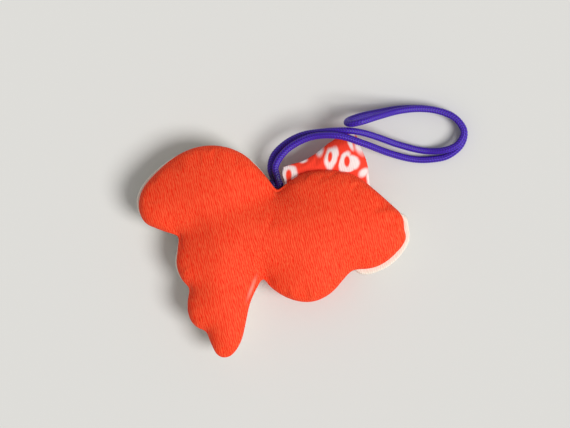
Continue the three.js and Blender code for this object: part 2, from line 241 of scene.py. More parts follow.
def even_samples(fine):
    """Points at even steps along a finely drawn line, and how far along it each one lies"""
    along = np.concatenate([[0], np.cumsum(np.linalg.norm(np.diff(fine, axis=0), axis=1))])
    even = np.linspace(0, along[-1], round(along[-1] / SAMPLE_STEP) + 1)
    return np.column_stack([np.interp(even, along, fine[:, axis]) for axis in range(3)]), even


def smooth_line(points):
    """Even samples of the centripetal Catmull-Rom curve through the points"""
    points = np.array(points, float)
    ends = [2 * points[0] - points[1], 2 * points[-1] - points[-2]]
    points = np.vstack([ends[0], points, ends[1]])
    fine = []
    for p0, p1, p2, p3 in zip(points, points[1:], points[2:], points[3:]):
        t1 = np.linalg.norm(p1 - p0) ** 0.5
        t2 = t1 + np.linalg.norm(p2 - p1) ** 0.5
        t3 = t2 + np.linalg.norm(p3 - p2) ** 0.5
        t = np.linspace(t1, t2, STEPS_PER_SPAN, endpoint=False)[:, None]
        a1 = (t1 - t) / t1 * p0 + t / t1 * p1
        a2 = (t2 - t) / (t2 - t1) * p1 + (t - t1) / (t2 - t1) * p2
        a3 = (t3 - t) / (t3 - t2) * p2 + (t - t2) / (t3 - t2) * p3
        b1 = (t2 - t) / t2 * a1 + t / t2 * a2
        b2 = (t3 - t) / (t3 - t1) * a2 + (t - t1) / (t3 - t1) * a3
        fine.append((t2 - t) / (t2 - t1) * b1 + (t - t1) / (t2 - t1) * b2)
    return even_samples(np.vstack([*fine, points[-2]]))


cord_line, cord_steps = smooth_line(np.array(CORD_ROUTE) * MM)

# %% [markdown]
# A tube needs two directions square to its line at every sample. Worked out from the vertical
# each time, they would flip where the cord climbs, so they are carried on from sample to sample
# and turn only as much as the line makes them.

# %% Directions along a line


def frames_along(line):
    """Two directions square to the line at each sample that turn with it as little as they can"""
    forward = np.gradient(line, axis=0)
    forward /= np.linalg.norm(forward, axis=1)[:, None]
    side = np.cross(forward[0], (0, 0, 1))
    sides = []
    for direction in forward:
        side = side - direction * (side @ direction)
        side = side / np.linalg.norm(side)
        sides.append(side)
    sides = np.array(sides)
    return sides, np.cross(forward, sides)


steepest = np.degrees(np.arcsin(np.abs(np.diff(cord_line[:, 2])).max() / SAMPLE_STEP))
print("the cord climbs at up to", round(steepest), "degrees")

# %% [markdown]
# A round braid shows columns of slanting stitches, and neighbouring columns slant opposite ways.
# The cord's surface is drawn in where two stitches or two columns meet. A bump in the material
# would be quicker, but in the shape itself the stitches also show along the cord's edge.

# %% The stitches of the braid
BRAID_COLUMNS = 8
BRAID_STITCH = 0.58 * MM
STITCH_SLANT = 0.7
STITCH_FURROW = 0.85
COLUMN_FURROW = 0.4


def plait(along, turn):
    """How deep a point of the surface lies between the stitches, from 0 to 1"""
    column = np.floor(BRAID_COLUMNS * turn)
    across = BRAID_COLUMNS * turn - column
    slant = np.where(column % 2 == 0, across, 1 - across)
    stitch = along / BRAID_STITCH + STITCH_SLANT * slant
    from_stitch, from_column = 2 * np.abs(stitch - np.round(stitch)), 2 * np.abs(across - 0.5)
    return np.clip(STITCH_FURROW * from_stitch**3 + COLUMN_FURROW * from_column**4, 0, 1)


# %% [markdown]
# A tube has a ring of points at every sample, four-sided faces between the rings and a cap at
# each end. A curve with a round bevel would give one too, but then every point's place along and
# round the cord would have to be found again for the stitches. The tube's UV map runs along and
# round it, for the threads of the braid.

# %% A tube and its map
BRAID_SIDES = 48


def tube_faces(count):
    rings = [list(range(i * BRAID_SIDES, (i + 1) * BRAID_SIDES)) for i in range(count)]
    faces = []
    for here, beyond in zip(rings, rings[1:]):
        for k in range(BRAID_SIDES):
            m = (k + 1) % BRAID_SIDES
            faces.append((here[k], here[m], beyond[m], beyond[k]))
    return faces + [tuple(reversed(rings[0])), tuple(rings[-1])]


def map_tube(mesh, along):
    """In the map, one unit across is a stitch and one unit up is once round the braid"""
    uv = mesh.uv_layers.new(name="UVMap")
    for face in mesh.polygons[:-2]:
        ring, k = divmod(face.index, BRAID_SIDES)
        corners = [(ring, k), (ring, k + 1), (ring + 1, k + 1), (ring + 1, k)]
        for loop, (i, j) in zip(face.loop_indices, corners):
            uv.data[loop].uv = (along[i] / BRAID_STITCH, j / BRAID_SIDES)


print("a tube along the cord has", len(tube_faces(len(cord_line))), "faces")

# %% [markdown]
# The braid is that tube with its stitches drawn in. It keeps how deep each point lies between the
# stitches as an attribute, so that painted shade can darken the furrows there.

# %% The braid
BRAID_DEPTH = 0.13 * MM


def braid(name, line, half_width=None, half_height=None):
    """A plaited tube along a line. Its section is round unless half sizes along the line are given."""
    count = len(line)
    sides, ups = frames_along(line)
    radius = CORD_DIAMETER / 2
    wide = np.full(count, radius) if half_width is None else half_width
    high = np.full(count, radius) if half_height is None else half_height
    turn = np.arange(BRAID_SIDES) / BRAID_SIDES
    along = np.arange(count) * SAMPLE_STEP
    furrow = plait(along[:, None], turn[None, :])
    depth = BRAID_DEPTH * furrow
    cos, sin = np.cos(2 * np.pi * turn), np.sin(2 * np.pi * turn)
    across = (wide[:, None] - depth) * cos
    upward = (high[:, None] - depth) * sin
    points = line[:, None, :] + across[..., None] * sides[:, None, :] + upward[..., None] * ups[:, None, :]
    mesh = bpy.data.meshes.new(name)
    mesh.from_pydata(points.reshape(-1, 3).tolist(), [], tube_faces(count))
    piece = bpy.data.objects.new(name, mesh)
    bpy.context.scene.collection.objects.link(piece)
    mesh.attributes.new("furrow", "FLOAT", "POINT").data.foreach_set("value", furrow.ravel())
    map_tube(mesh, along)
    edit(piece)
    turn_faces_outwards()
    leave_edit()
    bpy.ops.object.shade_smooth()
    return piece


# %% [markdown]
# The free cord follows the whole route.

# %% The hanging cord
hanging_cord = braid("hanging_braid", cord_line)
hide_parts("hanging_cord")
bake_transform(hanging_cord)
report(hanging_cord)

# %% [markdown]
# Both ends of the cord go in between the back and the front. Inside they are pressed flat and
# glued, and pressing spreads them until they touch. So each end is a braid whose section changes
# from flat to round on its way out. It runs a little way into the free cord, so that no slit
# shows.

# %% The ends of the cord
TUCKED_IN = 0.25 * MM
TUCKED_SIZE = 0.97
PRESSED_SPREAD = 0.14 * MM
LIP_DEPTH = 1.6 * MM
BEND_REACH = 0.9 * MM
FLAT_SHARE = 0.72


def cord_end(name, node, meeting, leaving):
    low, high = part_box(node)
    centre = (low + high) / 2
    flat_end = np.array((centre.x, low.y, centre.z))
    lip = np.array((centre.x, high.y - LIP_DEPTH, centre.z))
    gate = meeting + leaving * TUCKED_IN
    inner = np.linspace(flat_end, lip, STEPS_PER_SPAN, endpoint=False)
    t = np.linspace(0, 1, STEPS_PER_SPAN)[:, None]
    a, b, c, d = lip, lip + np.array((0, BEND_REACH, 0)), gate - leaving * BEND_REACH, gate
    curve = (1 - t) ** 3 * a + 3 * (1 - t) ** 2 * t * b + 3 * (1 - t) * t**2 * c + t**3 * d
    line, even = even_samples(np.vstack([inner, curve]))
    opening = np.clip((even / even[-1] - FLAT_SHARE) / (1 - FLAT_SHARE), 0, 1)
    opening = opening**2 * (3 - 2 * opening)
    radius = CORD_DIAMETER / 2 * TUCKED_SIZE
    half_width = ((high.x - low.x) / 2 + PRESSED_SPREAD) * (1 - opening) + radius * opening
    half_height = (high.z - low.z) / 2 * (1 - opening) + radius * opening
    piece = braid(name, line, half_width, half_height)
    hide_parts(node)
    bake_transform(piece)
    report(piece)
    return piece


def way_between(here, there):
    return (there - here) / np.linalg.norm(there - here)


first_way = way_between(cord_line[0], cord_line[1])
second_way = way_between(cord_line[-1], cord_line[-2])
first_end = cord_end("braid_end_first", "cord_end_first", cord_line[0], first_way)
second_end = cord_end("braid_end_second", "cord_end_second", cord_line[-1], second_way)

# %% [markdown]
# Subdivision rounds a coarse shape, but it also draws it in at every corner. The fish's outline
# has to stay, so the control points are moved outwards first, by just as much as the smooth
# surface would fall short of them. Smoothing that pushes back after each pull evens the faces
# out and shrinks nothing either.

# %% Smoothing that keeps the outline
SUBDIVISIONS = 2
FITTING_ROUNDS = 4
SMOOTH_PULL = 0.5
SMOOTH_PUSH = -0.52


def subdivide_through_points(piece, held):
    """Rounds a piece. The points for which held(place) is true stay where they are in plan."""
    only(piece)
    modifier = piece.modifiers.new("smooth", "SUBSURF")
    modifier.levels = modifier.render_levels = SUBDIVISIONS
    wanted = {vertex.index: vertex.co.copy() for vertex in piece.data.vertices if held(vertex.co)}
    for _ in range(FITTING_ROUNDS):
        smooth = piece.evaluated_get(bpy.context.evaluated_depsgraph_get())
        mesh = smooth.to_mesh()
        short = {i: aim - mesh.vertices[i].co for i, aim in wanted.items()}
        smooth.to_mesh_clear()
        for i, step in short.items():
            piece.data.vertices[i].co += Vector((step.x, step.y, 0))
        piece.data.update()
    bpy.ops.object.modifier_apply(modifier=modifier.name)


def even_out(piece, rounds=4):
    for _ in range(rounds):
        apply_modifier(piece, "SMOOTH", factor=SMOOTH_PULL, iterations=1)
        apply_modifier(piece, "SMOOTH", factor=SMOOTH_PUSH, iterations=1)


def places(piece):
    flat = np.empty(len(piece.data.vertices) * 3)
    piece.data.vertices.foreach_get("co", flat)
    return flat.reshape(-1, 3)


def put(piece, points):
    piece.data.vertices.foreach_set("co", points.ravel())
    piece.data.update()


# %% [markdown]
# The wadding presses outwards and the cloth pulls back, and Blender's Cloth settles the two. It
# is made for things of a metre or so, so the pad is brought to ten times its size meanwhile. The
# glued hem is pinned, gravity is off, and no point may move by more than a third of a
# millimetre. The pad starts a little small, because it swells. In plan only a third of the
# change is kept, so that the outline stays.

# %% The pull of the cloth
SIMULATION_SCALE = 10
MOST_MOVE = 0.34 * MM
DRAWN_IN = 0.16 * MM
MOVE_IN_PLAN = 0.33
FULL_PRESSURE = 4
SETTLING_FRAMES = 20
CLOTH_QUALITY = 5
CLOTH_MASS = 0.3
CLOTH_BENDING = 2
TINY = 1e-9


def simulate_cloth(piece, glued, pressure=FULL_PRESSURE, drawn_in=DRAWN_IN):
    start = places(piece)
    normals = np.empty(start.size)
    piece.data.vertices.foreach_get("normal", normals)
    free = (~glued)[:, None]
    small = start - normals.reshape(-1, 3) * drawn_in * free
    put(piece, small * SIMULATION_SCALE)
    group = piece.vertex_groups.new(name="glued")
    group.add(np.flatnonzero(glued).tolist(), 1, "REPLACE")
    only(piece)
    cloth = piece.modifiers.new("cloth", "CLOTH")
    cloth.settings.quality = CLOTH_QUALITY
    cloth.settings.mass = CLOTH_MASS
    cloth.settings.bending_stiffness = CLOTH_BENDING
    cloth.settings.use_pressure = True
    cloth.settings.uniform_pressure_force = pressure
    cloth.settings.vertex_group_mass = "glued"
    cloth.settings.effector_weights.gravity = 0
    cloth.point_cache.frame_start, cloth.point_cache.frame_end = 1, SETTLING_FRAMES
    for number in range(1, SETTLING_FRAMES + 1):
        bpy.context.scene.frame_set(number)
    bpy.ops.object.modifier_apply(modifier=cloth.name)
    bpy.context.scene.frame_set(1)
    piece.vertex_groups.clear()
    moved = places(piece) / SIMULATION_SCALE - small
    length = np.linalg.norm(moved, axis=1)[:, None]
    moved *= np.minimum(1, MOST_MOVE / np.maximum(length, TINY))
    change = small + moved - start
    change[:, :2] *= MOVE_IN_PLAN
    put(piece, start + change)
    most, usual = length.max() / MM, np.median(length) / MM
    print(f"{piece.name}: moved up to {most:.2f} mm, {usual:.2f} mm as a rule")


# %% [markdown]
# Each padded part is cloth drawn over wadding and turned in behind a card. Its solid is a hollow
# shell with a hem. Of that, only the outside beyond the level of the card's face is kept. The
# open rim is carried back to the hem and closed, with a narrow border so that it stays firm.

# %% The crown and its hem
HEM_ROUND = 0.4 * MM
NEARLY = 0.01 * MM
TOP_BAND = 0.1 * MM
CROWN_FACING = 0.5


def levels_of(part):
    """Which way a part's crown faces, 1 up or -1 down, the level of its card's face, and of its hem"""
    cloth_low, cloth_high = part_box(f"{part}_cloth")
    card_low, card_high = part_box(f"{part}_card")
    if cloth_high.z - card_high.z > card_low.z - cloth_low.z:
        return 1, card_high.z, cloth_low.z
    return -1, card_low.z, cloth_high.z


def crown_with_hem(name, part):
    up, seat, hem = levels_of(part)
    piece = copy_of_node(f"{part}_cloth", name)
    edit(piece)
    select_faces(piece, lambda centre, normal: up * (centre.z - seat) < NEARLY)
    bpy.ops.mesh.delete(type="FACE")
    top = max(up * vertex.co.z for vertex in piece.data.vertices) - TOP_BAND
    select_faces(piece, lambda centre, normal: up * centre.z > top and up * normal.z > CROWN_FACING)
    bpy.ops.mesh.select_linked()
    bpy.ops.mesh.select_all(action="INVERT")
    bpy.ops.mesh.delete(type="FACE")
    bpy.ops.mesh.select_all(action="SELECT")
    bpy.ops.mesh.region_to_loop()
    bpy.ops.mesh.extrude_region_move(TRANSFORM_OT_translate={"value": (0, 0, hem - seat)})
    bpy.ops.mesh.edge_face_add()
    bpy.ops.mesh.select_mode(type="FACE")
    bpy.ops.mesh.inset(thickness=HEM_ROUND)
    turn_faces_outwards()
    leave_edit()
    return piece


# %% [markdown]
# The back is stuffed fuller than the front, so its crown is rounder than the solid's. Where its
# outline turns inwards the cloth is snipped and drawn down, and a valley runs in from there. Both
# could be sculpted by hand. Here they are formulas over each point's height above the card, so
# that every valley can be moved by its two ends.

# %% Tight cloth and its valleys
CROWN_FILL = 0.974
CROWN_SPREAD = 0.45
VALLEY_FADE = 1.5 * MM


def drawn_tight(points, seat, dents):
    """A rounder crown for a cushion that faces up, lowered by soft valleys between two places"""
    height = np.maximum(points[:, 2] - seat, 0)
    full = height.max()
    fall = (1 - CROWN_FILL * (height / full) ** 2) ** CROWN_SPREAD
    lowered = full * np.sqrt((1 - fall) / (1 - (1 - CROWN_FILL) ** CROWN_SPREAD))
    for start, end, depth, end_depth, reach in dents:
        start, end = np.array(start) * MM, np.array(end) * MM
        way = end - start
        share = np.clip((points[:, :2] - start) @ way / (way @ way), 0, 1)
        off = np.linalg.norm(points[:, :2] - start - share[:, None] * way, axis=1)
        # The cloth bridges a valley, so it is only half as deep midway
        bridged = 0.5 + 2 * (share - 0.5) ** 2
        deep = (depth + (end_depth - depth) * share) * MM * bridged
        lowered -= deep * np.exp(-((off / (reach * MM)) ** 2)) * np.clip(height / VALLEY_FADE, 0, 1)
    points = points.copy()
    points[:, 2] += np.maximum(lowered, 0) - height
    return points


# %% [markdown]
# A cushion is that shape made round and even, settled by the pull of its cloth, and drawn into
# valleys where it has any. It replaces the solids of both its cloth and its wadding. The front's
# four cushions come first, which all face down: the body, the head and the tail's two lobes.

# %% A cushion of crepe
GLUED_BAND = 0.12 * MM


def cushion(name, part, dents=()):
    up, seat, hem = levels_of(part)
    piece = crown_with_hem(name, part)
    subdivide_through_points(piece, lambda place: abs(place.z - hem) > NEARLY)
    even_out(piece)
    glued = up * (places(piece)[:, 2] - hem) < GLUED_BAND
    simulate_cloth(piece, glued)
    even_out(piece, rounds=3)
    points = places(piece)
    if dents:
        points = drawn_tight(points, seat, dents)
    # Nothing sinks into the table
    points[:, 2] = np.maximum(points[:, 2], 0)
    put(piece, points)
    apply_modifier(piece, "SUBSURF", levels=1, render_levels=1)
    only(piece)
    bpy.ops.object.shade_smooth()
    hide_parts(f"{part}_cloth", f"{part}_wadding")
    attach(piece, "fish")
    report(piece)
    return piece


body = cushion("body_cushion", "body")
head = cushion("head_cushion", "head")
tail_upper = cushion("tail_upper_cushion", "tail_upper")
tail_lower = cushion("tail_lower_cushion", "tail_lower")

# %% [markdown]
# The back is one large cushion. Soft valleys run in from the inner corners of its outline, and
# the longest parts the upper tail from the rest. A small pleat stands along the lower tail's
# right edge, where spare cloth was folded over: a low ridge with a furrow beside it.

# %% The back
# Start and end in mm, depths at both, and reach; a ridge has a negative depth
BACK_VALLEYS = [
    ((0.84, 11.7), (-20.3, 2.4), 1.1, 0.9, 3.4),
    ((-2.2, -7.4), (-18.2, -9.4), 1.0, 0.3, 2.6),
    ((-14.6, -19), (-9.6, -16), 0.7, 0.0, 1.8),
    ((17.4, -5.7), (13, 1), 0.6, 0.0, 2.4),
    ((-18.2, -9.6), (-13, -7.6), 0.5, 0.0, 1.8),
    ((-3.4, -6.6), (-5.7, -12.8), -0.6, -0.4, 0.45),
    ((-4.4, -6.8), (-6.8, -12.6), 0.5, 0.2, 0.6),
]
back = cushion("back_cushion", "back", BACK_VALLEYS)

# %% [markdown]
# The dorsal fin is one piece of dyed crepe folded over a thin layer of wadding. The upper side
# of the solid is kept, mirrored to the underside, and the two are bridged round the edge. Two
# small discs carry its lower corners in under the rim of the body.

# %% The fin's folded shape
FIN_CORNERS = ((3.5, 13.1), (20.0, 12.8))
FIN_CORNER_SIZE = 1.1 * MM
FIN_CORNER_SIDES = 32
FIN_FACING_UP = 0.01


def folded_fin():
    low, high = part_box("dorsal_fin_cloth")
    middle = (low.z + high.z) / 2
    tab_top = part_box("cord_end_first")[1].z
    piece = copy_of_node("dorsal_fin_cloth", "fin_cushion")
    edit(piece)
    kept_above = tab_top - NEARLY
    select_faces(piece, lambda centre, normal: normal.z <= FIN_FACING_UP or centre.z <= kept_above)
    bpy.ops.mesh.delete(type="FACE")
    bpy.ops.mesh.select_all(action="SELECT")
    bpy.ops.mesh.duplicate()
    bpy.ops.transform.resize(value=(1, 1, -1), center_override=(0, 0, middle))
    bpy.ops.mesh.select_all(action="SELECT")
    bpy.ops.mesh.region_to_loop()
    bpy.ops.mesh.bridge_edge_loops()
    turn_faces_outwards()
    for x, y in FIN_CORNERS:
        bpy.ops.mesh.primitive_cylinder_add(
            vertices=FIN_CORNER_SIDES,
            radius=FIN_CORNER_SIZE,
            depth=2 * (tab_top - middle),
            location=(x * MM, y * MM, middle),
        )
    leave_edit()
    return piece


fin = folded_fin()
report(fin)

# %% [markdown]
# The other cushions are subdivided, but the fin's inner corners would fold in that. It gets a new
# even net instead, which joins the discs to it as well. The net is evened out and then smoothed in
# height alone, so that the outline stays. A weaker pressure fills it, because a fin holds little
# wadding.

# %% The padded fin
FIN_NET = 0.2 * MM
FIN_GLUED_BELOW = 13 * MM
FIN_EVENING_ROUNDS = 10
FIN_SMOOTHING_ROUNDS = 70
FIN_PRESSURE = 2


def pad_fin(piece):
    apply_modifier(piece, "REMESH", mode="VOXEL", voxel_size=FIN_NET)
    even_out(piece, rounds=FIN_EVENING_ROUNDS)
    heights_only = {"use_x": False, "use_y": False}
    rounds = FIN_SMOOTHING_ROUNDS
    apply_modifier(piece, "SMOOTH", factor=SMOOTH_PULL, iterations=rounds, **heights_only)
    glued = places(piece)[:, 1] < FIN_GLUED_BELOW
    simulate_cloth(piece, glued, pressure=FIN_PRESSURE, drawn_in=0)
    apply_modifier(piece, "SUBSURF", levels=1, render_levels=1)
    only(piece)
    bpy.ops.object.shade_smooth()
    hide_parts("dorsal_fin_cloth", "dorsal_fin_wadding")
    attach(piece, "fish")
    report(piece)


pad_fin(fin)

# %% [markdown]
# Silk crepe is woven with over-twisted weft, and it shrinks into fine broken ribs that run one
# way across the cloth. They scatter the light, so the eye sees a matte, grainy cloth with a faint
# glow at its edges. A wave that wanders gives the ribs, and noise that is stretched along them
# breaks them up. Real ribs are 0.4 mm apart, which a pixel can't show, so they are drawn a little
# coarser.

# %% The ribs of crepe
RIB_PITCH = 0.48 * MM
RIB_LENGTH = 1.6 * MM
RIB_LEAN = math.radians(13)
RIB_RELIEF = 0.08 * MM
# A wave texture at this scale repeats once in each unit of length
ONE_WAVE = math.pi / 10


def ribs_of(tree, place):
    """0 in a furrow and 1 on a rib, with the ribs near +Y"""
    sizes = {"Rotation": (0, 0, RIB_LEAN), "Scale": (RIB_PITCH, RIB_LENGTH, RIB_PITCH)}
    along = add(tree, "Mapping", {"Vector": place, **sizes}, vector_type="TEXTURE").outputs[0]
    wander = {"Distortion": 5, "Detail": 1, "Detail Scale": 2.3, "Detail Roughness": 0.5}
    wave = add(tree, "TexWave", {"Vector": along, "Scale": ONE_WAVE, **wander})
    noise = add(tree, "TexNoise", {"Vector": along, "Scale": 1.6, "Detail": 1.5, "Roughness": 0.55})
    broken = add(tree, "MapRange", {"Value": noise.outputs["Fac"], "From Min": 0.34, "From Max": 0.66})
    both = {"Factor": 0.35, "A": wave.outputs["Fac"], "B": broken.outputs["Result"]}
    return add(tree, "Mix", both).outputs["Result"]


def crepe_finish(tint):
    return {
        "Roughness": 0.65,
        "Specular IOR Level": 0.12,
        "Sheen Weight": 0.08,
        "Sheen Roughness": 0.4,
        "Sheen Tint": colour(tint),
    }


def relief_of(tree, ribs):
    bump = add(tree, "Bump", {"Height": ribs, "Strength": 0.55, "Distance": RIB_RELIEF})
    return bump.outputs["Normal"]


print("ribs:", round(RIB_PITCH / MM, 2), "mm apart and", round(RIB_LENGTH / MM, 1), "mm long")

# %% [markdown]
# Some finishes cover only one place on the cloth. An image could be painted for them, but a
# Mapping node does it with five numbers: it brings the cloth into an ellipse's own frame, where
# the edge is at distance one. The least distance to several ellipses makes one mask.

# %% Ellipses on the cloth


def least_distance(tree, place, ellipses):
    """Distance from the nearest ellipse's centre, 1 at its edge. An ellipse is its centre, half
    width and half height in mm, and its turn in degrees."""
    nearest = None
    for x, y, wide, high, turn in ellipses:
        sizes = {"Location": (x * MM, y * MM, 0), "Rotation": (0, 0, math.radians(turn))}
        sizes["Scale"] = (wide * MM, high * MM, 1)
        own = add(tree, "Mapping", {"Vector": place, **sizes}, vector_type="TEXTURE")
        flat = add(tree, "VectorMath", {0: own.outputs[0], 1: (1, 1, 0)}, operation="MULTIPLY")
        far = add(tree, "VectorMath", {0: flat.outputs[0]}, operation="LENGTH").outputs["Value"]
        if nearest is None:
            nearest = far
        else:
            nearest = add(tree, "Math", {0: nearest, 1: far}, operation="MINIMUM").outputs[0]
    return nearest


# %% [markdown]
# The back and the front's body are red crepe and the head and tail are cream. Each cloth mixes
# a lighter, lit shade on its ribs with a darker, painted shade in its furrows. Along the back's
# pleat a paler pink is painted as a highlight, where the fold catches the light.

# %% Red and cream crepe
# Where a paler pink highlight is painted along the back's pleat: centre, half width and half height in mm,
# and turn in degrees
PLEAT_HIGHLIGHT = [(-4.7, -9.6, 0.5, 3.4, -21)]


def crepe(name, lit_rib_hex, shaded_furrow_hex, pleat_highlight_hex=None, tint="#ffffff"):
    material, tree, shader = new_material(name, crepe_finish(tint))
    place = add(tree, "TexCoord").outputs["Object"]
    ribs = ribs_of(tree, place)
    # Painted light: the ribs get a lighter, lit shade and the furrows a darker, painted shade of the cloth
    dyes = {"Factor": ribs, "A": colour(shaded_furrow_hex), "B": colour(lit_rib_hex)}
    dyed = add(tree, "Mix", dyes, data_type="RGBA").outputs["Result"]
    # A paler pink is painted along the pleat as a highlight, where the fold catches the light
    if pleat_highlight_hex:
        far = least_distance(tree, place, PLEAT_HIGHLIGHT)
        painted_highlight_edge = {"Value": far, "From Min": 1.25, "From Max": 0, "To Max": 0.72}
        share = add(tree, "MapRange", painted_highlight_edge, interpolation_type="SMOOTHSTEP").outputs["Result"]
        dyes = {"Factor": share, "A": dyed, "B": colour(pleat_highlight_hex)}
        dyed = add(tree, "Mix", dyes, data_type="RGBA").outputs["Result"]
    give(tree, shader, {"Base Color": dyed, "Normal": relief_of(tree, ribs)})
    return material


back_crepe = crepe("red_silk_crepe_with_painted_highlight", "#ff6038", "#f22405", "#ff9f8c", tint="#ff8a66")
red_crepe = crepe("red_silk_crepe", "#ff6038", "#f22405", tint="#ff8a66")
cream_crepe = crepe("cream_silk_crepe", "#f8f0e3", "#e6d9c8")
for cloth in (back_crepe, red_crepe, cream_crepe):
    print(cloth.name, "has", len(cloth.node_tree.nodes), "nodes")

# %% [markdown]
# The fin's crepe is tied in tiny knots before it is dyed, so each knot leaves a white patch, and
# a whole one has a red heart. A regular pattern would be quicker, but every knot is tied by hand,
# so rings, patches and hearts are placed one by one, as they lie on the fin. The dye creeps in
# under the thread, which softens and shifts their edges.

# %% Kanoko crepe
# Centre, half width and half height in mm, and turn in degrees
RINGS = [
    (3.6, 15.5, 1.75, 1.75, 0), (3.0, 14.4, 1.05, 1.9, 8), (4.3, 14.3, 0.75, 1.6, -20),
    (12.65, 18.8, 1.42, 2.5, -12),
    (15.5, 17.85, 1.15, 2.4, -15), (17.15, 17.75, 1.85, 1.5, -10), (15.9, 16.5, 1.65, 0.85, -4),
]
PATCHES = [
    (6.5, 18.2, 1.1, 0.75, 20), (10.1, 20.3, 1.0, 1.6, -12),
    (16.8, 21.8, 0.6, 1.7, 22), (18.8, 21.3, 1.3, 2.3, 22),
    (19.8, 15.6, 1.6, 1.0, 32), (20.8, 14.2, 0.6, 2.6, 8), (17.2, 23.8, 0.9, 0.75, 0),
]
HEARTS = [
    (3.4, 15.0, 0.62, 1.25, -2), (3.45, 13.7, 0.5, 1.2, 0),
    (12.35, 18.95, 0.46, 1.15, -6), (16.05, 17.95, 0.6, 1.15, 0),
]
# Ellipses, then the distances at which the cloth is white and at which it is dyed
KNOT_EDGES = ((RINGS, 0.78, 1.18), (PATCHES, 0.35, 1.15), (HEARTS, 1.35, 0.7))
DYE_CREEP = 0.1
CREEPS_PER_MM = 0.6


def kanoko():
    material, tree, shader = new_material("kanoko_dyed_crepe", crepe_finish("#ffd9cc"))
    place = add(tree, "TexCoord").outputs["Object"]
    creep = add(tree, "TexNoise", {"Vector": place, "Scale": CREEPS_PER_MM / MM, "Detail": 0.5})
    ends = {"From Min": 0.3, "From Max": 0.7, "To Min": -DYE_CREEP, "To Max": DYE_CREEP}
    shift = add(tree, "MapRange", {"Value": creep.outputs["Fac"], **ends}).outputs["Result"]
    masks = []
    for ellipses, full, end in KNOT_EDGES:
        near = least_distance(tree, place, ellipses)
        crept = add(tree, "Math", {0: near, 1: shift}, operation="ADD").outputs[0]
        edge = {"Value": crept, "From Min": end, "From Max": full}
        masks.append(add(tree, "MapRange", edge, interpolation_type="SMOOTHSTEP").outputs[0])
    white = add(tree, "Math", {0: masks[0], 1: masks[1]}, operation="MAXIMUM")
    undyed = add(tree, "Math", {0: white.outputs[0], 1: masks[2]}, operation="MULTIPLY")
    ribs = ribs_of(tree, place)
    shade = add(tree, "MapRange", {"Value": ribs, "To Min": 0.93, "To Max": 1.0})
    dyes = {"Factor": undyed.outputs[0], "A": colour("#ff432c"), "B": colour("#fbe9e4")}
    dyed = add(tree, "Mix", dyes, data_type="RGBA")
    shades = {"Factor": 1.0, "A": dyed.outputs["Result"], "B": shade.outputs["Result"]}
    shaded = add(tree, "Mix", shades, data_type="RGBA", blend_type="MULTIPLY")
    dyed_cloth = shaded.outputs["Result"]
    give(tree, shader, {"Base Color": dyed_cloth, "Normal": relief_of(tree, ribs)})
    return material


kanoko_crepe = kanoko()
print("knots on the fin:", len(RINGS), "rings,", len(PATCHES), "patches and", len(HEARTS), "hearts")

# %% [markdown]
# Viscose silk is a smooth spun thread, so each plaited strand of the deep violet has a gloss, and
# the furrows between them are painted darker as shade. Fine threads run along the braid, drawn as
# noise that is stretched along its UV map. Where the cord goes into the notch, it is painted
# darker still, as the shade that falls there.

# %% Braid silk
ROOT_SHADE_AT = (0.5 * MM, 13.6 * MM, 6 * MM)
ROOT_SHADE_FULL = 1.4 * MM
ROOT_SHADE_GONE = 4 * MM
THREADS_ROUND = 24
THREADS_PER_STITCH = 2
THREAD_RELIEF = 0.03 * MM
SILK_FINISH = {
    "Roughness": 0.4,
    "Specular IOR Level": 0.35,
    "Sheen Weight": 0.06,
    "Sheen Roughness": 0.3,
    "Sheen Tint": colour("#8f78ff"),
}


def braid_silk():
    material, tree, shader = new_material("violet_viscose_braid", SILK_FINISH)
    coordinates = add(tree, "TexCoord")
    threads_laid = (THREADS_PER_STITCH, THREADS_ROUND, 1)
    stretched = add(tree, "Mapping", {"Vector": coordinates.outputs["UV"], "Scale": threads_laid})
    threads = add(tree, "TexNoise", {"Vector": stretched.outputs[0], "Scale": 1, "Detail": 2})
    dyes = {"Factor": threads.outputs["Fac"], "A": colour("#3414ad"), "B": colour("#5e2fd5")}
    dye = add(tree, "Mix", dyes, data_type="RGBA")
    # Painted shade: the furrows between the stitches are darkened, as the shade that falls in them
    furrow = add(tree, "Attribute", attribute_name="furrow")
    ends = {"From Max": 0.8, "To Min": 1, "To Max": 0.15}
    painted_furrow_shade = add(tree, "MapRange", {"Value": furrow.outputs["Fac"], **ends})
    # Painted shade: the cord darkens towards where it goes into the notch
    off = add(tree, "VectorMath", {0: coordinates.outputs["Object"], 1: ROOT_SHADE_AT}, operation="DISTANCE")
    ends = {"From Min": ROOT_SHADE_FULL, "From Max": ROOT_SHADE_GONE, "To Min": 0.2, "To Max": 1}
    root_shade = add(tree, "MapRange", {"Value": off.outputs["Value"], **ends}, interpolation_type="SMOOTHSTEP")
    shade = add(tree, "Math", {0: painted_furrow_shade.outputs["Result"], 1: root_shade.outputs["Result"]}, operation="MULTIPLY")
    shades = {"Factor": 1.0, "A": dye.outputs["Result"], "B": shade.outputs[0]}
    silk = add(tree, "Mix", shades, data_type="RGBA", blend_type="MULTIPLY")
    relief = {"Height": threads.outputs["Fac"], "Strength": 0.4, "Distance": THREAD_RELIEF}
    bump = add(tree, "Bump", relief)
    give(tree, shader, {"Base Color": silk.outputs["Result"], "Normal": bump.outputs["Normal"]})
    return material


violet_braid = braid_silk()
print(violet_braid.name, "has", len(violet_braid.node_tree.nodes), "nodes")

# %% [markdown]
# Now each piece gets its cloth. This could be done as each piece is made. Here the shapes come
# first and the finishes after them, so that either can be changed alone.

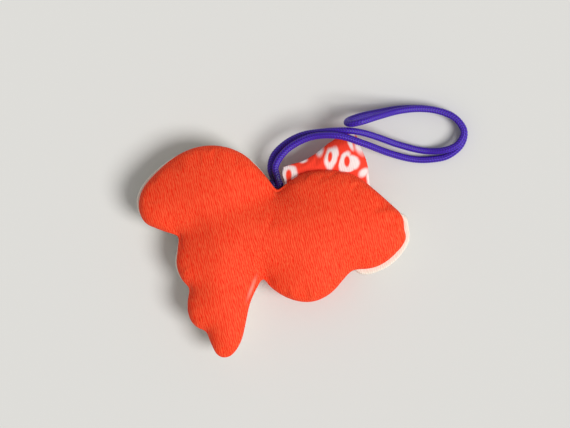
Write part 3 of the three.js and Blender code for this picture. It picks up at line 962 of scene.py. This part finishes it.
# %% Each piece gets its cloth
for piece in (hanging_cord, first_end, second_end):
    piece.data.materials.append(violet_braid)
for piece, material, slot in (
    (back, back_crepe, "red_crepe"),
    (body, red_crepe, "red_crepe"),
    (head, cream_crepe, "cream_crepe"),
    (tail_upper, cream_crepe, "cream_crepe"),
    (tail_lower, cream_crepe, "cream_crepe"),
    (fin, kanoko_crepe, None),
):
    piece.data.materials.clear()
    piece.data.materials.append(material)
    print(piece.name, "is made of", material.name)

# %% [markdown]
# The eye is on the front of the head, so it shows only from below. Its white is a small disc cut
# from wool felt: fibres matted together by pressure, which look dull and a little uneven. The
# solid's shape is right, and subdivision only rounds its cut edge.

# %% The white of the eye
FIBRES_PER_MM = 3
FELT_RELIEF = 0.08 * MM


def wool_felt():
    material, tree, shader = new_material("white_wool_felt", {"Roughness": 0.9})
    place = add(tree, "TexCoord").outputs["Object"]
    tangle = {"Scale": FIBRES_PER_MM / MM, "Detail": 3, "Roughness": 0.7}
    fibres = add(tree, "TexNoise", {"Vector": place, **tangle}).outputs["Fac"]
    shades = {"Factor": fibres, "A": colour("#e6e1d8"), "B": colour("#fbf9f4")}
    wool = add(tree, "Mix", shades, data_type="RGBA")
    bump = add(tree, "Bump", {"Height": fibres, "Strength": 0.5, "Distance": FELT_RELIEF})
    give(tree, shader, {"Base Color": wool.outputs["Result"], "Normal": bump.outputs["Normal"]})
    return material


def felt_eye():
    piece = copy_of_node("eye_patch", "eye_felt")
    apply_modifier(piece, "SUBSURF", levels=2, render_levels=2)
    bpy.ops.object.shade_smooth()
    piece.data.materials.append(wool_felt())
    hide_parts("eye_patch")
    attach(piece, "fish")
    report(piece)


felt_eye()

# %% [markdown]
# The pupil is half a bead moulded from acrylic, nearly black, which comes out of its mould with a
# hard gloss. A ball is cut in two and stretched to the size of the solid, with its flat side on
# the felt. Its rim stays sharp, because only faces that meet at a small angle are shaded as one.

# %% The bead of the eye
BEAD_SEGMENTS, BEAD_RINGS = 48, 32
RIM_ANGLE = math.radians(40)
CLOUDS_PER_MM = 1.5


def black_acrylic():
    material, tree, shader = new_material("black_moulded_acrylic", {"Roughness": 0.12})
    place = add(tree, "TexCoord").outputs["Object"]
    depth = add(tree, "TexNoise", {"Vector": place, "Scale": CLOUDS_PER_MM / MM, "Detail": 1})
    shades = {"Factor": depth.outputs["Fac"], "A": colour("#0d0b0a"), "B": colour("#1e1a18")}
    black = add(tree, "Mix", shades, data_type="RGBA")
    give(tree, shader, {"Base Color": black.outputs["Result"]})
    return material


def bead_eye():
    low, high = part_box("eye_bead")
    centre = (low + high) / 2
    half_sizes = ((high.x - low.x) / 2, (high.y - low.y) / 2, high.z - low.z)
    bpy.ops.object.select_all(action="DESELECT")
    bpy.ops.mesh.primitive_uv_sphere_add(
        segments=BEAD_SEGMENTS,
        ring_count=BEAD_RINGS,
        radius=1,
        location=(0, 0, 0),
    )
    piece = bpy.context.object
    piece.name = "eye_bead_dome"
    edit(piece)
    bpy.ops.mesh.select_all(action="SELECT")
    bpy.ops.mesh.bisect(plane_co=(0, 0, 0), plane_no=(0, 0, 1), clear_outer=True, use_fill=True)
    bpy.ops.mesh.select_all(action="SELECT")
    bpy.ops.transform.resize(value=half_sizes, center_override=(0, 0, 0))
    bpy.ops.transform.translate(value=(centre.x, centre.y, high.z))
    leave_edit()
    bpy.ops.object.shade_smooth_by_angle(angle=RIM_ANGLE)
    piece.data.materials.append(black_acrylic())
    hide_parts("eye_bead")
    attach(piece, "fish")
    report(piece)


bead_eye()

# %% [markdown]
# The cards inside the cushions are cut from grey paperboard, pressed from waste pulp, so it is
# matte and lightly mottled. Their solids are right as they are and only get a finish.

# %% Backing card
PULP_PER_MM = 1.2


def paperboard():
    material, tree, shader = new_material("grey_paperboard", {"Roughness": 0.9})
    place = add(tree, "TexCoord").outputs["Object"]
    mottling = {"Scale": PULP_PER_MM / MM, "Detail": 4, "Roughness": 0.7}
    pulp = add(tree, "TexNoise", {"Vector": place, **mottling})
    shades = {"Factor": pulp.outputs["Fac"], "A": colour("#a89c86"), "B": colour("#c4b8a2")}
    board = add(tree, "Mix", shades, data_type="RGBA")
    give(tree, shader, {"Base Color": board.outputs["Result"]})
    return material


card = paperboard()
for part in ("back", "body", "head", "tail_upper", "tail_lower"):
    node = frame["nodes"][f"{part}_card"]
    node.data.materials.clear()
    node.data.materials.append(card)
    print(node.name, "is made of", card.name)

# %% [markdown]
# The charm lies on a plain pale floor of uncoated paper, which is matte and even, so that only
# the charm's shadow shows on it. It is a hair lower than the charm, so that the two never share
# a plane.

# %% The floor
FLOOR_SIZE = 3
FLOOR_DROP = 0.02 * MM
PAPER_FINISH = {"Base Color": colour("#dddcd8"), "Roughness": 0.9, "Specular IOR Level": 0.1}


def lay_floor():
    bpy.ops.object.select_all(action="DESELECT")
    bpy.ops.mesh.primitive_plane_add(size=FLOOR_SIZE, location=(0, 0, -FLOOR_DROP))
    floor = bpy.context.object
    floor.name = "floor"
    floor.data.materials.append(new_material("pale_paper_floor", PAPER_FINISH)[0])


lay_floor()
print("floor:", FLOOR_SIZE, "m wide")

# %% [markdown]
# A broad soft light comes from the lower right, as in the photograph, and an even white
# surrounding fills the shadows. Lamps close by would light one end of the charm more than the
# other, so one sun with a wide disc is used.

# %% The light
SUN_HEIGHT = 52
SUN_FROM = -28
SUN_DISC = 28
SUN_ENERGY = 2.6
SURROUNDING = 0.36


def hang_lights():
    bpy.ops.object.light_add(type="SUN")
    sun = bpy.context.object
    height, turn = math.radians(SUN_HEIGHT), math.radians(SUN_FROM)
    level = math.cos(height)
    towards = Vector((math.cos(turn) * level, math.sin(turn) * level, math.sin(height)))
    sun.rotation_euler = towards.to_track_quat("Z", "Y").to_euler()
    sun.data.energy = SUN_ENERGY
    sun.data.angle = math.radians(SUN_DISC)
    world = bpy.context.scene.world or bpy.data.worlds.new("World")
    bpy.context.scene.world = world
    world.use_nodes = True
    background = world.node_tree.nodes["Background"]
    background.inputs["Color"].default_value = (1, 1, 1, 1)
    background.inputs["Strength"].default_value = SURROUNDING
    return towards


towards_sun = hang_lights()
bpy.context.scene.view_settings.view_transform = "Standard"
print("towards the sun:", [round(x, 2) for x in towards_sun])
